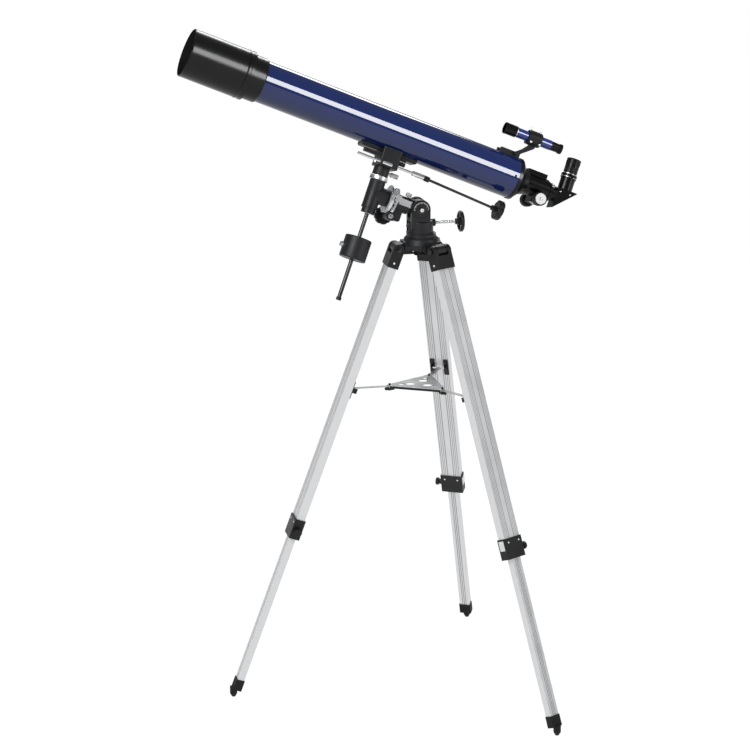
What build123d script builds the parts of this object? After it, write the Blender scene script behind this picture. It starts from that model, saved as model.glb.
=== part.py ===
from build123d import *
import os
from math import atan, cos, degrees, hypot, pi, radians, sin, tan

# ---------------------------------------------------------------- driving dimensions, mm and degrees
AXIS_X = 80.6            # tripod axis along X; the origin is midway along the object, on the floor

# tripod
PIVOT_H = 1110.7         # height of the leg hinges
PIVOT_R = 60.5           # leg hinges to the tripod axis
FOOT_R = 472.2           # foot tips to the tripod axis
LEG_ANGLES = (180, -60, 60)
LEG_W = 51.0             # across both rails
LEG_T = 21.0             # through the rails
RAIL_W = 16.5            # one rail
RAIL_WALL = 1.6
RAIL_TOP = 14.0          # hinge to the rails' top end
RAIL_END = 738.0         # hinge to the rails' lower end
INNER_TOP = 404.0        # hinge to the inner leg's top end
INNER_W = 27.0
INNER_T = 17.0
INNER_WALL = 1.8
TONGUE_W = 32.0          # hub lug between a cap's ears
TRAY_H = 773.2           # tray's top face
TRAY_R = 85.0            # tray corners to the axis
TRAY_T = 2.0
ARM_R = 152.0            # brace pivots to the axis

# mount head
BASE_X = -3.0            # mount base from the tripod axis
HUB_TOP = 1146.0
LAT = 22.4               # tilt of the polar axis
HOUR = 12.3              # turn about the polar axis
HEAD_X = -116.5          # where the polar and declination axes cross
HEAD_H = 1245.0
HINGE_ALONG = 116.3      # latitude hinge along and above the polar axis
HINGE_ABOVE = 6.1
HINGE_X = HEAD_X + HINGE_ALONG * cos(radians(LAT)) + HINGE_ABOVE * sin(radians(LAT))
HINGE_H = HEAD_H - HINGE_ALONG * sin(radians(LAT)) + HINGE_ABOVE * cos(radians(LAT))
SCREW_H = 1169.5         # latitude screw
SCREW_TIP = -14.5        # its pad's nose, from the tripod axis
SHAFT_R = 8.0            # polar and declination shafts
RUN = 0.05               # radial clearance of a running fit
RA_WHEEL_R = 32.0
RA_WORM_DROP = 37.6      # polar axis to its worm
RA_WORM_X = 52.0
RA_WORM_TILT = -9.0
DEC_WHEEL_R = 24.4
DEC_WORM_Y = -30.0
DEC_WORM_Z = 74.0
WORM_R = 5.3
WHEEL_TEETH = 60
ROD_R = 5.0              # counterweight rod
ROD_END = -262.0
WEIGHT_R = 32.5
WEIGHT_TOP = -111.0
WEIGHT_L = 54.0
CONTROL_TILT = 2.6       # droop of the slow-motion shaft

# optical tube
TUBE_Z = 154.0           # tube axis above the polar axis
TUBE_R = 50.0
TUBE_WALL = 1.2
TUBE_FRONT = -352.0
TUBE_REAR = 318.0
CELL_FRONT = -386.0
DEW_FRONT = -533.0
DEW_REAR = -379.0
DEW_R = 58.0
DRAW_R = 19.0
PINION_DROP = 30.0
PINION_R = 7.0
FOCUS_X = 386.0
PINION_TEETH = 14
DRAW_START = 300.0
DRAW_END = 420.0
EYE_X = 455.0            # eyepiece axis
BARREL_R = 15.88         # 1.25 inch barrel
FINDER_Z = 262.0
FINDER_FRONT = 259.0
FINDER_REAR = 414.0


# ---------------------------------------------------------------- small shape helpers
def cyl_x(x0, x1, r, y=0.0, z=0.0):
    return Pos((x0 + x1) / 2, y, z) * Rot(0, 90, 0) * Cylinder(r, abs(x1 - x0))


def cyl_y(y0, y1, r, x=0.0, z=0.0):
    return Pos(x, (y0 + y1) / 2, z) * Rot(90, 0, 0) * Cylinder(r, abs(y1 - y0))


def cyl_z(z0, z1, r, x=0.0, y=0.0):
    return Pos(x, y, (z0 + z1) / 2) * Cylinder(r, abs(z1 - z0))


def block(x0, x1, y0, y1, z0, z1):
    return Pos((x0 + x1) / 2, (y0 + y1) / 2, (z0 + z1) / 2) * Box(x1 - x0, y1 - y0, z1 - z0)


def turned_x(points, z=0.0):
    """A solid of revolution about the line y = 0 at height z, from its (x, radius) outline."""
    face = make_face(Polyline(*[(x, 0, r) for x, r in points], close=True))
    return Pos(0, 0, z) * revolve(face, Axis.X)


def turned_z(points):
    """A solid of revolution about Z, from its (radius, z) outline."""
    face = make_face(Polyline(*[(r, 0, z) for r, z in points], close=True))
    return revolve(face, Axis.Z)


def joined(*shapes):
    whole = shapes[0]
    for shape in shapes[1:]:
        whole = whole + shape
    return whole


def gear_disc(radius, teeth, width, tooth=1.4):
    """A wheel on Z with V-shaped teeth, its crests at radius."""
    points = []
    for k in range(teeth):
        for step, r in ((0.0, radius), (0.5, radius - tooth)):
            a = 2 * pi * (k + step) / teeth
            points.append((r * cos(a), r * sin(a)))
    return extrude(make_face(Polyline(*points, close=True)), width / 2, both=True)


def lobed_disc(radius, lobes, width, depth=2.4):
    """A grip on Z: a disc with round finger hollows in its rim."""
    disc = chamfer(Cylinder(radius, width).edges(), 1.5)
    hollow = radius * 0.26
    cuts = [
        Rot(0, 0, 360 / lobes * k) * Pos(radius + hollow - depth, 0, 0) * Cylinder(hollow, width + 2)
        for k in range(lobes)
    ]
    return disc - cuts


def thumbscrew(shank_r, shank_l, head_r, head_l):
    """Shank down from z = 0, scalloped head above it."""
    head = Pos(0, 0, head_l / 2) * Cylinder(head_r, head_l)
    head = chamfer(head.edges(), min(0.8, head_l / 5))
    notch = head_r * 0.22
    cuts = [Rot(0, 0, 30 * k) * Pos(head_r + notch * 0.5, 0, head_l / 2) * Cylinder(notch, head_l + 2)
            for k in range(12)]
    return Pos(0, 0, -shank_l / 2) * Cylinder(shank_r, shank_l) + (head - cuts)


def wing_screw(shank_r, shank_l, hub_r, hub_l, span, thick):
    """Shank up from z = 0, a hub with two wings below it."""
    hub = cyl_z(-hub_l, 0, hub_r)
    wings = Pos(0, 0, -hub_l * 0.62) * Box(span, thick, hub_l * 0.76)
    wings = fillet(wings.edges().filter_by(Axis.Y), hub_l * 0.3)
    return joined(cyl_z(0, shank_l, shank_r), hub, wings)


# ---------------------------------------------------------------- places
LEG_TILT = degrees(atan((FOOT_R - PIVOT_R) / PIVOT_H))
LEG_LENGTH = hypot(FOOT_R - PIVOT_R, PIVOT_H)
POLAR = Pos(AXIS_X + HEAD_X, 0, HEAD_H) * Rot(0, LAT, 0)    # X down the polar axis
HEAD = POLAR * Rot(-HOUR, 0, 0)                             # Z up the declination axis
BASE = Pos(AXIS_X + BASE_X, 0, 0)


def leg_place(angle):
    """Leg frame: origin on the hinge, Z up along the leg, X away from the tripod axis."""
    return Pos(AXIS_X, 0, 0) * Rot(0, 0, angle) * Pos(PIVOT_R, 0, PIVOT_H) * Rot(0, -LEG_TILT, 0)


# ---------------------------------------------------------------- tripod
def hub():
    outline = [(0, 1108), (44, 1108), (45, 1122), (41, 1134), (36, 1139), (35.5, HUB_TOP), (0, HUB_TOP)]
    body = turned_z(outline)
    for angle in LEG_ANGLES:
        lug = block(20, PIVOT_R, -TONGUE_W / 2, TONGUE_W / 2, PIVOT_H - 13, PIVOT_H + 13)
        lug += cyl_y(-TONGUE_W / 2, TONGUE_W / 2, 13, PIVOT_R, PIVOT_H)
        shoulder = block(20, 46, -30, 30, 1108, 1128)
        shoulder = chamfer(shoulder.edges().filter_by(Axis.X).group_by(Axis.Z)[-1], 8)
        lug -= cyl_y(-40, 40, 4.0, PIVOT_R, PIVOT_H)
        body += Rot(0, 0, angle) * shoulder
        body += Rot(0, 0, angle) * lug
    body -= turned_z([(0, 1100), (33, 1100), (33, 1116), (16, 1118), (16, 1130), (0, 1130)])
    body -= Pos(BASE_X, 0, 1130) * Cylinder(6.3, 60)
    return Pos(AXIS_X, 0, 0) * body


def hinge_bolts():
    bolts = []
    for angle in LEG_ANGLES:
        bolt = cyl_y(-30, 38, 4.0)
        bolt += cyl_y(-30.6, -27.2, 7.0)
        bolt += Rot(90, 0, 0) * Pos(0, 0, -29.4) * extrude(RegularPolygon(6.6, 6), 2.2, both=True)
        place = Pos(AXIS_X, 0, 0) * Rot(0, 0, angle) * Pos(PIVOT_R, 0, PIVOT_H)
        bolts.append(place * bolt)
    return bolts


def leg_cap():
    shell = block(-14, 14, -27, 27, -46, 2)
    shell += cyl_y(-27, 27, 14)
    shell -= block(-40, 40, -TONGUE_W / 2 - 0.2, TONGUE_W / 2 + 0.2, -13.6, 40)
    shell -= block(-40, 0, -TONGUE_W / 2 - 0.2, TONGUE_W / 2 + 0.2, -22, 40)
    shell -= block(-LEG_T / 2, LEG_T / 2, -LEG_W / 2, LEG_W / 2, -50, -RAIL_TOP - 8)
    shell -= cyl_y(-40, 40, 4.0)
    shell -= [Pos(0, side * 27, -34) * Rot(90, 0, 0) * Cylinder(2.5, 1.6) for side in (-1, 1)]
    return shell


def leg_rails():
    top = -RAIL_TOP - 8
    rail = block(-LEG_T / 2, LEG_T / 2, LEG_W / 2 - RAIL_W, LEG_W / 2, -RAIL_END, top)
    hollow = block(
        -LEG_T / 2 + RAIL_WALL, LEG_T / 2 - RAIL_WALL,
        LEG_W / 2 - RAIL_W - 1, LEG_W / 2 - RAIL_WALL,
        -RAIL_END - 1, top + 1,
    )
    rail -= hollow
    for side in (-1, 1):
        for y in (13.0, 17.5, 22.0):
            groove = Pos(side * LEG_T / 2, y, (top - RAIL_END) / 2)
            rail -= groove * Box(0.9, 1.1, RAIL_END)
    return [rail, mirror(rail, Plane.XZ)]


def inner_leg():
    foot = LEG_LENGTH - 34
    shape = block(-INNER_T / 2, INNER_T / 2, -INNER_W / 2, INNER_W / 2, -foot, -INNER_TOP)
    x, y = INNER_T / 2 - INNER_WALL, INNER_W / 2 - INNER_WALL
    shape -= block(-x, x, -y, y, -foot - 1, -INNER_TOP + 1)
    for side in (-1, 1):
        for y in (-4.5, 0.0, 4.5):
            shape -= Pos(side * INNER_T / 2, y, -(foot + INNER_TOP) / 2) * Box(1.2, 1.6, foot)
    return shape


def foot():
    """Foot cap in the leg frame; its tip is upright, so that it stands on its point."""
    top = LEG_LENGTH - 34
    cap = block(-INNER_T / 2 - 2, INNER_T / 2 + 2, -INNER_W / 2 - 2, INNER_W / 2 + 2, -top - 14, -top + 14)
    cap = fillet(cap.edges().filter_by(Axis.Z), 2.5)
    cap -= block(-INNER_T / 2, INNER_T / 2, -INNER_W / 2, INNER_W / 2, -top, -top + 20)
    tip_length = LEG_LENGTH - top - 14
    upright = Pos(0, 0, -LEG_LENGTH) * Rot(0, LEG_TILT, 0)
    tip = upright * turned_z([(0, 0), (4.5, 0), (9, 8), (9, tip_length + 6), (0, tip_length + 6)])
    return cap + tip


def leg_clamp():
    z0, z1 = -RAIL_END - 14, -RAIL_END + 36
    band = block(-LEG_T / 2 - 3, LEG_T / 2 + 3, -LEG_W / 2 - 3, LEG_W / 2 + 3, z0, z1)
    band = fillet(band.edges().filter_by(Axis.Z), 2.0)
    band -= block(-LEG_T / 2, LEG_T / 2, -LEG_W / 2, LEG_W / 2, -RAIL_END, z1 + 1)
    x, y = INNER_T / 2 + 0.3, INNER_W / 2 + 0.3
    band -= block(-x, x, -y, y, z0 - 1, -RAIL_END + 1)
    band += cyl_y(LEG_W / 2 + 2, LEG_W / 2 + 9, 7, 0, -RAIL_END + 8)
    band -= cyl_y(LEG_W / 2 - 2, LEG_W / 2 + 12, 3.06, 0, -RAIL_END + 8)
    return band


def leg_lock():
    """Screw through the clamp's boss; its flat end presses on the near rail."""
    screw = Rot(-90, 0, 0) * thumbscrew(3.0, 6.0, 9.5, 8)
    return Pos(0, LEG_W / 2 + 11.4, -RAIL_END + 8) * (screw + cyl_y(-2.4, 0.5, 5.0))


def brace_fittings():
    """Two clips on each leg's rails with the brace pivot, and the screws under the tray."""
    pieces = []
    drop = PIVOT_H - TRAY_H
    along = drop / cos(radians(LEG_TILT))
    for angle in LEG_ANGLES:
        place = leg_place(angle)
        face = -LEG_T / 2
        for side in (-1, 1):
            y = side * (LEG_W / 2 - RAIL_W / 2)
            clip = block(face - 2.5, face, y - 6, y + 6, -along - 20, -along + 24)
            lug = block(face - 14, face - 2, y - 2.5, y + 2.5, -along - 5, -along + 7)
            pieces.append(place * (clip + lug))
        screw = Pos(TRAY_R - 8, 0, TRAY_H - TRAY_T - 2.0) * wing_screw(2.5, 8.0, 5.5, 9, 24, 4)
        pieces.append(Pos(AXIS_X, 0, 0) * Rot(0, 0, angle) * screw)
    return pieces


def brace_arms():
    """Each arm is a flat yoke: a strap under the tray's corner and a cross rod between the leg's clips."""
    pieces = []
    drop = PIVOT_H - TRAY_H
    along = drop / cos(radians(LEG_TILT))
    for angle in LEG_ANGLES:
        y = LEG_W / 2 - RAIL_W / 2 - 2.5
        reach = PIVOT_R + drop * tan(radians(LEG_TILT)) - LEG_T / 2 - 8 - 2
        z1 = TRAY_H - TRAY_T
        strap = block(TRAY_R - 16, reach, -5.5, 5.5, z1 - 2.0, z1)
        strap -= Pos(TRAY_R - 8, 0, z1) * Cylinder(2.5, 10)
        rod = cyl_y(-y, y, 2.4, reach, z1 - 1.0)
        pieces.append(Pos(AXIS_X, 0, 0) * Rot(0, 0, angle) * (strap + rod))
    return pieces


def rounded_triangle(reach, z0, z1):
    """Triangular prism with its rounded corners toward the legs."""
    corners = [(reach * cos(radians(a)), reach * sin(radians(a))) for a in LEG_ANGLES]
    prism = extrude(make_face(Polyline(*corners, close=True)), z1 - z0)
    return Pos(0, 0, z0) * fillet(prism.edges().filter_by(Axis.Z), 8)


def tray():
    """Triangular plate with a turned-down edge, arched windows and round eyepiece holes."""
    body = rounded_triangle(TRAY_R + 6, -4.0, TRAY_T) - rounded_triangle(TRAY_R + 3, -5.0, 0.0)
    body -= [Rot(0, 0, a) * block(TRAY_R - 40, TRAY_R + 20, -6.5, 6.5, -10, 0) for a in LEG_ANGLES]
    for k in range(3):
        window = Rot(0, 0, 60 + 120 * k) * Pos(25, 0, 0) * Cylinder(12, 20)
        arch = Rot(0, 0, LEG_ANGLES[k]) * Pos(48, 0, 0) * Cylinder(8.0, 20)
        hole = Rot(0, 0, LEG_ANGLES[k]) * Pos(TRAY_R - 8, 0, 0) * Cylinder(2.5, 20)
        body = body - window - arch - hole
    return Pos(AXIS_X, 0, TRAY_H - TRAY_T) * body


def mount_knob():
    """Stud and knob that hold the mount down on the hub."""
    grip = Pos(0, 0, 1098) * lobed_disc(15, 6, 12, 2.0)
    return BASE * joined(grip, cyl_z(1104, 1117.6, 8), cyl_z(1117, 1156, 6.0))


# ---------------------------------------------------------------- mount head
def mount_base():
    body = cyl_z(HUB_TOP + 0.3, 1176, 32)
    body = fillet(body.edges().filter_by(GeomType.CIRCLE).group_by(Axis.Z)[-1], 4)
    x = HINGE_X - BASE_X
    cheek = block(x - 23, x + 23, -27, 27, 1160, HINGE_H) + cyl_y(-27, 27, 23, x, HINGE_H)
    cheek -= block(x - 40, x + 40, -16, 16, 1182, 1260)
    body += cheek
    body += cyl_x(20, 37, 9, 0, SCREW_H)
    body -= cyl_x(-40, 44, 4.05, 0, SCREW_H)
    body -= block(-40, 12, -9, 9, HUB_TOP + 6, 1200)
    body -= cyl_y(-60, 60, 5.0, x, HINGE_H)
    body -= cyl_z(1140, 1157, 6.3)
    for side in (-1, 1):
        body += cyl_y(side * 27, side * 29.5, 20, x, HINGE_H) - cyl_y(-60, 60, 5.0, x, HINGE_H)
    return BASE * body


def latitude_bolt():
    bolt = cyl_y(-33, 33, 5.0)
    bolt += [Rot(90, 0, 0) * Pos(0, 0, side * 33) * extrude(RegularPolygon(7.5, 6), 2.8, both=True)
             for side in (-1, 1)]
    washers = [cyl_y(side * 29.5, side * 30.4, 10) for side in (-1, 1)]
    return Pos(AXIS_X + HINGE_X, 0, HINGE_H) * joined(bolt, *washers)


def latitude_pad():
    """Domed pad on the screw's tip, against the polar housing's tail."""
    dome = Pos(6.5, 0, 0) * Sphere(6.5) & block(0, 5.5, -8, 8, -8, 8)
    return Pos(AXIS_X + SCREW_TIP, 0, SCREW_H) * (dome + cyl_x(5, 7.0, 3.0))


def latitude_screw():
    """Threaded rod with its handwheel."""
    rim = Rot(0, 90, 0) * (Cylinder(25.5, 9) - Cylinder(18.5, 12))
    rim = fillet(rim.edges(), 2.5)
    spokes = [Rot(120 * k, 0, 0) * block(-2.5, 2.5, -3.5, 3.5, 8, 20) for k in range(3)]
    centre = cyl_x(-7, 6, 9)
    return Pos(AXIS_X + 98, 0, SCREW_H) * joined(
        rim, centre, cyl_x(SCREW_TIP + 7.1 - 98, -2, 4.0), cyl_x(-14, -6, 7.5), *spokes)


def polar_housing():
    body = cyl_x(57, 90, 20)
    body = chamfer(body.edges().group_by(Axis.X)[0], 2)
    hinge = cyl_y(-15.7, 15.7, 20, HINGE_ALONG, HINGE_ABOVE)
    body += hinge + block(88, HINGE_ALONG, -15.7, 15.7, -12, 20)
    # tail that the latitude screw pushes on
    tail = block(HINGE_ALONG - 10, HINGE_ALONG + 6, -8, 8, HINGE_ABOVE - 53, HINGE_ABOVE - 10)
    body += tail
    # arm and case of the worm
    arm = block(57, 78, -15, 15, -RA_WORM_DROP - 6, -12)
    arm = chamfer(arm.edges().filter_by(Axis.Y), 3)
    case = cyl_y(-17, 17, 9.5, RA_WORM_X, -RA_WORM_DROP)
    case += block(RA_WORM_X, 62, -15, 15, -RA_WORM_DROP - 9, -RA_WORM_DROP + 8)
    case += arm
    case -= cyl_y(-11, 11, WORM_R + 0.9, RA_WORM_X, -RA_WORM_DROP)
    case -= block(45, 56.4, -11, 11, -RA_WORM_DROP, 0)
    case -= cyl_y(-20, 20, 3.5 + RUN, RA_WORM_X, -RA_WORM_DROP)
    case -= cyl_x(47.5, 56.4, RA_WHEEL_R + 0.8)
    case -= cyl_x(30, 45, 34.8)
    body += Rot(RA_WORM_TILT, 0, 0) * case
    body -= cyl_x(40, 100, SHAFT_R + RUN)
    body -= cyl_y(-60, 60, 5.0 + RUN, HINGE_ALONG, HINGE_ABOVE)
    body -= cyl_z(10, 40, 3.0 + RUN, 82)
    return POLAR * body


def ra_pointer():
    """Index plate that lies on the polar housing and reaches over the setting circle."""
    foot_plate = block(57.6, 92, -22.0, -20.5, -8, 8)
    riser = block(57.6, 59.1, -36.6, -20.5, -8, 8)
    index = block(45.4, 59.1, -36.6, -35.1, -8, 8)
    return POLAR * Rot(-20, 0, 0) * joined(foot_plate, riser, index)


def ra_lock():
    return POLAR * Pos(82, 0, 22.2) * thumbscrew(3.0, 12.0, 7.5, 9)


def ra_worm():
    shaft = cyl_y(-33, 45, 3.5)
    worm = cyl_y(-10.5, 10.5, WORM_R)
    collars = cyl_y(17.3, 22, 6) + cyl_y(-22, -17.3, 6)
    return POLAR * Rot(RA_WORM_TILT, 0, 0) * Pos(RA_WORM_X, 0, -RA_WORM_DROP) * joined(shaft, worm, collars)


def ra_knob():
    grip = Rot(90, 0, 0) * lobed_disc(22, 8, 13, 1.6)
    grip += cyl_y(-13, 0, 8)
    grip -= cyl_y(-14, 1.5, 3.5)
    return POLAR * Rot(RA_WORM_TILT, 0, 0) * Pos(RA_WORM_X, 43.5, -RA_WORM_DROP) * grip


def axis_wheels():
    """Polar shaft with its worm wheel, and the declination worm wheel on its sleeve."""
    shaft = cyl_x(4, 98, SHAFT_R) - cyl_z(-30, 30, SHAFT_R + RUN)
    ra_wheel = Pos(RA_WORM_X, 0, 0) * Rot(0, 90, 0) * gear_disc(RA_WHEEL_R, WHEEL_TEETH, 6)
    spacer = cyl_x(44.5, 56.8, 13)
    sleeve = cyl_z(43.7, 77, 11)
    dec_wheel = Pos(0, 0, DEC_WORM_Z) * gear_disc(DEC_WHEEL_R, WHEEL_TEETH, 6)
    dec_part = joined(sleeve, dec_wheel) - cyl_z(40, 80, SHAFT_R + RUN)
    return [HEAD * joined(shaft, ra_wheel, spacer), HEAD * dec_part]


def setting_circles():
    """Graduated drums of the polar and declination axes."""
    ra_drum = chamfer(cyl_x(34, 44.4, 34).edges(), 0.8) - cyl_x(33, 46, 13)
    dec_drum = chamfer(cyl_z(33, 43.4, 22).edges(), 0.6) - cyl_z(30, 50, 13)
    return [HEAD * ra_drum, HEAD * dec_drum]


def dec_housing():
    body = cyl_z(-37, 32.6, 19)
    body += cyl_z(-49, -36, 16.5)
    body += cyl_z(32, 43.6, 13)
    body += cyl_x(0, 32, 21)
    body += cyl_x(31, 44, 13)
    body -= cyl_x(4, 50, SHAFT_R)
    body -= cyl_z(-60, 50, SHAFT_R + RUN)
    return HEAD * body


def dec_shaft():
    """Declination shaft with the counterweight rod screwed into its lower end."""
    cap = fillet(cyl_z(ROD_END - 4, ROD_END + 3, 6.2).edges(), 1.2)
    return HEAD * joined(cyl_z(-50, 92, SHAFT_R), cyl_z(ROD_END, -49, ROD_R), cap)


def counterweight():
    z0 = WEIGHT_TOP - WEIGHT_L
    body = cyl_z(z0, WEIGHT_TOP, WEIGHT_R)
    body = fillet(body.edges(), 3)
    body -= cyl_z(z0 - 5, WEIGHT_TOP + 5, ROD_R + RUN)
    z = (z0 + WEIGHT_TOP) / 2
    body -= cyl_x(-40, -25, 8.5, 0, z)
    body -= cyl_x(-40, 0, 3.05, 0, z)
    return HEAD * body


def counterweight_screw():
    z = WEIGHT_TOP - WEIGHT_L / 2
    screw = Rot(0, -90, 0) * thumbscrew(3.0, 25.0, 6.5, 8)
    return HEAD * Pos(-31.5, 0, z) * screw


def saddle():
    body = block(-20, 28, -34, 30, 66, 97)
    body = fillet(body.edges().filter_by(Axis.Z), 4)
    body += cyl_z(44, 67, 19.5)
    cheeks = block(-20, 28, -34, 34, 90, 112)
    cheeks = fillet(cheeks.edges().filter_by(Axis.Z), 4)
    cheeks -= cyl_x(-40, 40, TUBE_R + 0.3, 0, TUBE_Z)
    cheeks -= block(-40, 40, -20, 20, 97, 120)
    body += cheeks
    body += block(-64, -18, -30, -17, 84, 93)
    body -= cyl_z(43, 78.5, 11.3)
    body -= cyl_z(69.8, 78.2, DEC_WHEEL_R + 1.2)
    body -= cyl_z(60, 92, SHAFT_R)
    body -= cyl_x(-13, 13, WORM_R + 0.9, DEC_WORM_Y, DEC_WORM_Z)
    body -= cyl_x(-40, 40, 3.4 + RUN, DEC_WORM_Y, DEC_WORM_Z)
    body -= cyl_x(5, 30, 3.0 + RUN, 0, 56)
    for z, r in ((85, 5.4), (97, 5.0)):
        body += Pos(29.5, -25, z) * Rot(0, 90, 0) * thumbscrew(3.0, 12, r, 14)
    return HEAD * body


def dec_lock():
    return HEAD * Pos(24, 0, 56) * Rot(0, 90, 0) * thumbscrew(3.0, 12, 6, 20)


def dec_worm():
    shaft = cyl_x(-77, -22, 3.5) + cyl_x(-23, 82, 3.4)
    worm = cyl_x(-12, 12, WORM_R)
    sleeve = cyl_x(66, 96, 6) - cyl_x(82, 120, 4.2)
    return HEAD * Pos(0, DEC_WORM_Y, DEC_WORM_Z) * joined(shaft, worm, sleeve, cyl_z(-10, -5, 2.5, 72))


CONTROL = HEAD * Pos(82.5, DEC_WORM_Y, DEC_WORM_Z) * Rot(0, CONTROL_TILT, 0)


def control_shaft():
    shaft = cyl_x(0.2, 206, 3.2)
    return CONTROL * (shaft + cyl_x(15, 28, 6.4))


def control_knob():
    grip = Pos(217, 0, 0) * Rot(0, 90, 0) * lobed_disc(24, 7, 15, 3.2)
    grip += cyl_x(198, 212, 6.5)
    grip -= cyl_x(190, 206, 3.2)
    return CONTROL * grip


# ---------------------------------------------------------------- optical tube
def main_tube():
    body = turned_x([(TUBE_FRONT, TUBE_R - TUBE_WALL), (TUBE_REAR, TUBE_R - TUBE_WALL),
                     (TUBE_REAR, TUBE_R), (TUBE_FRONT, TUBE_R)], TUBE_Z)
    return HEAD * body


def tube_plate():
    plate = block(-72, 72, -18, 18, 97.2, 112)
    plate -= cyl_x(-80, 80, TUBE_R, 0, TUBE_Z)
    plate = chamfer(plate.edges().filter_by(Axis.Y).group_by(Axis.Z)[0], 3)
    return HEAD * plate


def dew_shield():
    outline = [
        (DEW_FRONT, DEW_R - 2.6), (DEW_REAR - 10, DEW_R - 2.6), (DEW_REAR - 10, 54.0), (DEW_REAR, 54.0),
        (DEW_REAR, DEW_R + 0.8), (DEW_REAR - 7, DEW_R + 0.8), (DEW_REAR - 8, DEW_R), (DEW_FRONT + 1, DEW_R),
        (DEW_FRONT, DEW_R - 1),
    ]
    return HEAD * turned_x(outline, TUBE_Z)


def objective_cell():
    outline = [
        (CELL_FRONT, 45.5), (CELL_FRONT + 3, 45.5), (CELL_FRONT + 3, 46.5), (TUBE_FRONT - 8, 46.5),
        (TUBE_FRONT - 8, 44.5), (TUBE_FRONT - 5, 44.5), (TUBE_FRONT - 5, 48.6), (TUBE_FRONT, 48.6),
        (TUBE_FRONT, TUBE_R), (TUBE_FRONT + 6, TUBE_R), (TUBE_FRONT + 6, 52.0), (TUBE_FRONT + 3, 53.7),
        (CELL_FRONT + 8, 53.7), (CELL_FRONT, 52.5),
    ]
    return HEAD * turned_x(outline, TUBE_Z)


def objective_lens():
    """Crown and flint elements of the achromat with their air gap."""
    crown_x = CELL_FRONT + 3
    crown = cyl_x(crown_x, crown_x + 30, 46.5, 0, TUBE_Z)
    front = Pos(crown_x + 1 + 460, 0, TUBE_Z) * Sphere(460)
    back = Pos(crown_x + 10.5 - 330, 0, TUBE_Z) * Sphere(330)
    crown = crown & front & back
    gap = Pos(crown_x + 10.9 - 325, 0, TUBE_Z) * Sphere(325)
    flint = cyl_x(crown_x + 4, TUBE_FRONT - 8, 46.5, 0, TUBE_Z) - gap
    return [HEAD * crown, HEAD * flint]


def baffles():
    rings = []
    for x, hole in ((-220, 38.0), (-60, 30.5), (110, 23.0)):
        rings.append(HEAD * turned_x([
            (x, hole), (x + 1, hole), (x + 1, TUBE_R - TUBE_WALL - 1), (x + 10, TUBE_R - TUBE_WALL - 1),
            (x + 10, TUBE_R - TUBE_WALL), (x, TUBE_R - TUBE_WALL),
        ], TUBE_Z))
    return rings


def rear_cell():
    outline = [
        (TUBE_REAR - 8, 46.5), (TUBE_REAR + 4, 46.5), (344, 28.0), (348, 25.4), (352, 25.4), (352, 29.0),
        (340, 34.0), (TUBE_REAR + 9, 49.5), (TUBE_REAR + 7, 51.6), (TUBE_REAR, 51.6), (TUBE_REAR, 48.8),
        (TUBE_REAR - 8, 48.8),
    ]
    return HEAD * turned_x(outline, TUBE_Z)


def focuser_body():
    body = cyl_x(352, 406, 27, 0, TUBE_Z)
    body += block(347.5, 398, -13, 13, TUBE_Z + 10, TUBE_Z + 36)
    body -= turned_x([(338, 0), (338, 35.4), (352, 29.2), (352, 0)], TUBE_Z)
    body += cyl_x(406, 411, 24.5, 0, TUBE_Z)
    axle_z = TUBE_Z - PINION_DROP
    body += block(FOCUS_X - 13, FOCUS_X + 13, -19, 19, axle_z - 10, TUBE_Z - 10)
    body += cyl_y(-22, 22, 8.5, FOCUS_X, axle_z)
    body -= cyl_x(340, 420, DRAW_R + RUN, 0, TUBE_Z)
    body -= block(340, 420, -5.4, 5.4, TUBE_Z - 24.5, TUBE_Z)
    body -= cyl_y(-12, 12, PINION_R + 1.6, FOCUS_X, axle_z)
    body -= cyl_y(-30, 30, 3.0 + RUN, FOCUS_X, axle_z)
    body -= cyl_z(TUBE_Z + 15, TUBE_Z + 40, 2.5 + RUN, 374)
    return HEAD * body


def focus_lock():
    return HEAD * Pos(374, 0, TUBE_Z + 36.6) * thumbscrew(2.5, 17, 4.2, 3.2)


def drawtube():
    tube = turned_x([(DRAW_START, 17.0), (404, 17.0), (404, BARREL_R + 0.1), (DRAW_END, BARREL_R + 0.1),
                     (DRAW_END, 23), (413, 23), (413, DRAW_R), (DRAW_START, DRAW_R)], TUBE_Z)
    rack = block(DRAW_START + 10, 410, -5, 5, TUBE_Z - 22.0, TUBE_Z - 18.2)
    pitch = 2 * pi * PINION_R / PINION_TEETH
    first = FOCUS_X - pitch * 20.5
    tooth = block(first - 0.45, first + 0.45, -5, 5, TUBE_Z - 23.7, TUBE_Z - 21.9)
    teeth = [Pos(pitch * k, 0, 0) * tooth for k in range(27)]
    body = joined(tube, rack - cyl_x(300, 430, 18, 0, TUBE_Z), *teeth)
    for a in (-60, 60):
        body -= Pos(416.5, 0, TUBE_Z) * Rot(a, 0, 0) * cyl_z(10, 30, 2.0)
    return HEAD * body


def draw_screws():
    return [HEAD * Pos(416.5, 0, TUBE_Z) * Rot(a, 0, 0) * Pos(0, 0, 23.4) * thumbscrew(2.0, 6.6, 4.2, 7)
            for a in (-60, 60)]


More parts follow.
